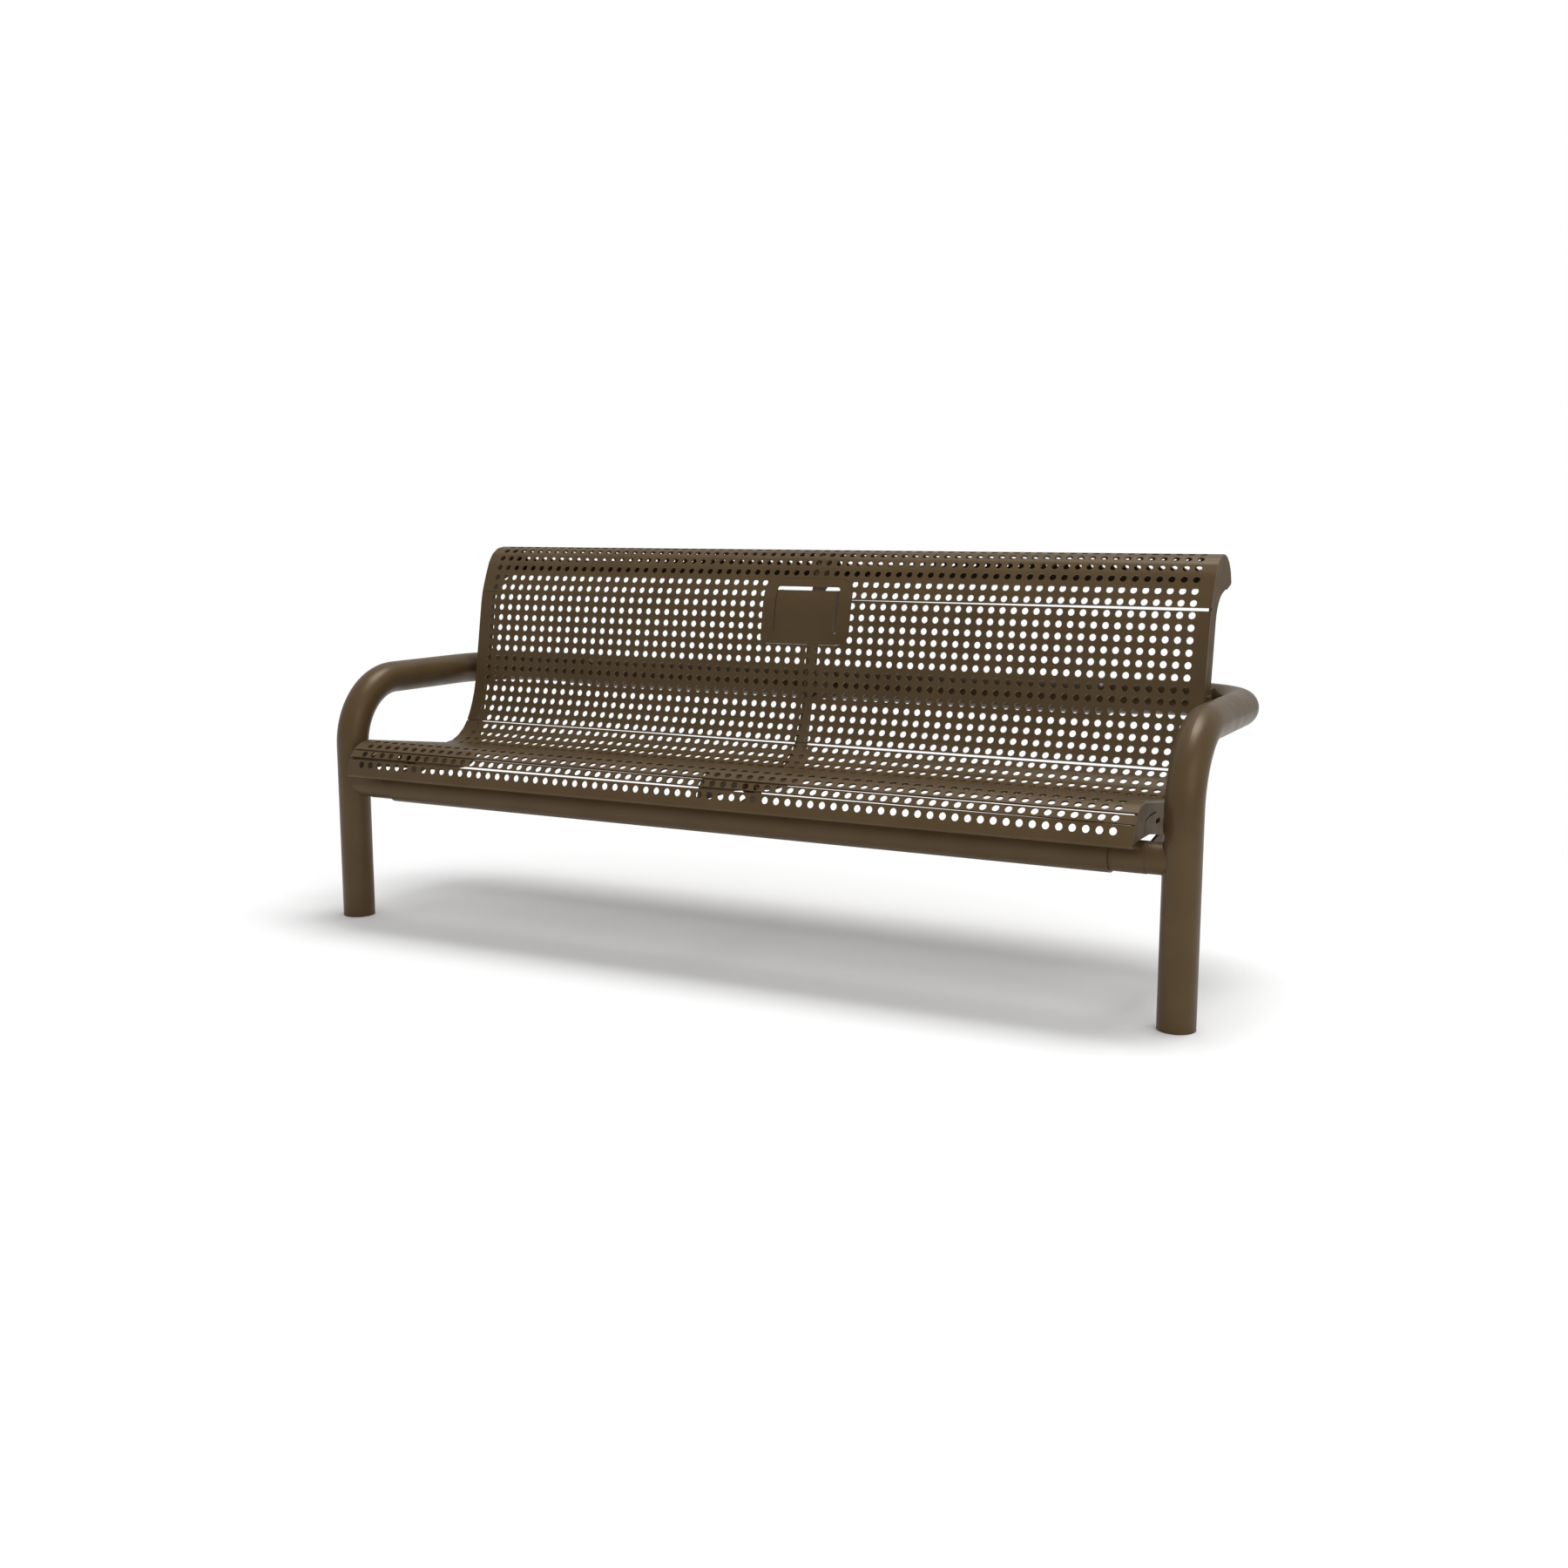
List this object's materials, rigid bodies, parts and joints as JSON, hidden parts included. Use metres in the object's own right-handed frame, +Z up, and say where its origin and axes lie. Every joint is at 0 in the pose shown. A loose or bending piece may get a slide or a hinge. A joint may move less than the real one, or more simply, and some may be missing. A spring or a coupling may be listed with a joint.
{
  "type": "memorial bench",
  "caption": "Perforated sheet steel bench with a curved seat and back on a bent tube frame, with a plain panel for a plaque.",
  "frame": {"origin": "on the ground, midway between the axes of the two legs", "axes": "+X along the bench, to the right as seen by someone facing it; -Y is the front, the side that the seat faces; +Z is up"},
  "size_m": [2.0354, 0.6814, 0.8592],
  "materials": {
    "powder_coat_bronze": "satin",
    "sleeve_steel": "satin",
    "screw_steel": "satin",
    "bolt_steel": "satin"
  },
  "bodies": {
    "root": {"leg_frame_left": "powder_coat_bronze", "leg_frame_right": "powder_coat_bronze", "back_tube": "powder_coat_bronze", "joint_sleeve_left": "sleeve_steel", "joint_sleeve_right": "sleeve_steel", "beam_tube": "powder_coat_bronze", "beam_sleeve_left": "powder_coat_bronze", "beam_sleeve_right": "powder_coat_bronze", "beam_stub_left": "powder_coat_bronze", "beam_stub_right": "powder_coat_bronze", "rib_left": "powder_coat_bronze", "rib_centre": "powder_coat_bronze", "rib_right": "powder_coat_bronze", "sheet_top": "powder_coat_bronze", "sheet_back": "powder_coat_bronze", "sheet_seat": "powder_coat_bronze", "sheet_nose": "powder_coat_bronze", "sheet_front": "powder_coat_bronze", "plaque_panel": "powder_coat_bronze", "plaque_plate": "powder_coat_bronze", "back_bracket_left": "powder_coat_bronze", "back_bracket_centre": "powder_coat_bronze", "back_bracket_right": "powder_coat_bronze", "beam_bracket_left": "powder_coat_bronze", "beam_bracket_centre": "powder_coat_bronze", "beam_bracket_right": "powder_coat_bronze", "joint_screws": "screw_steel", "bracket_bolts": "bolt_steel", "bracket_washers": "bolt_steel", "bracket_nuts": "bolt_steel"}
  },
  "joints": []
}
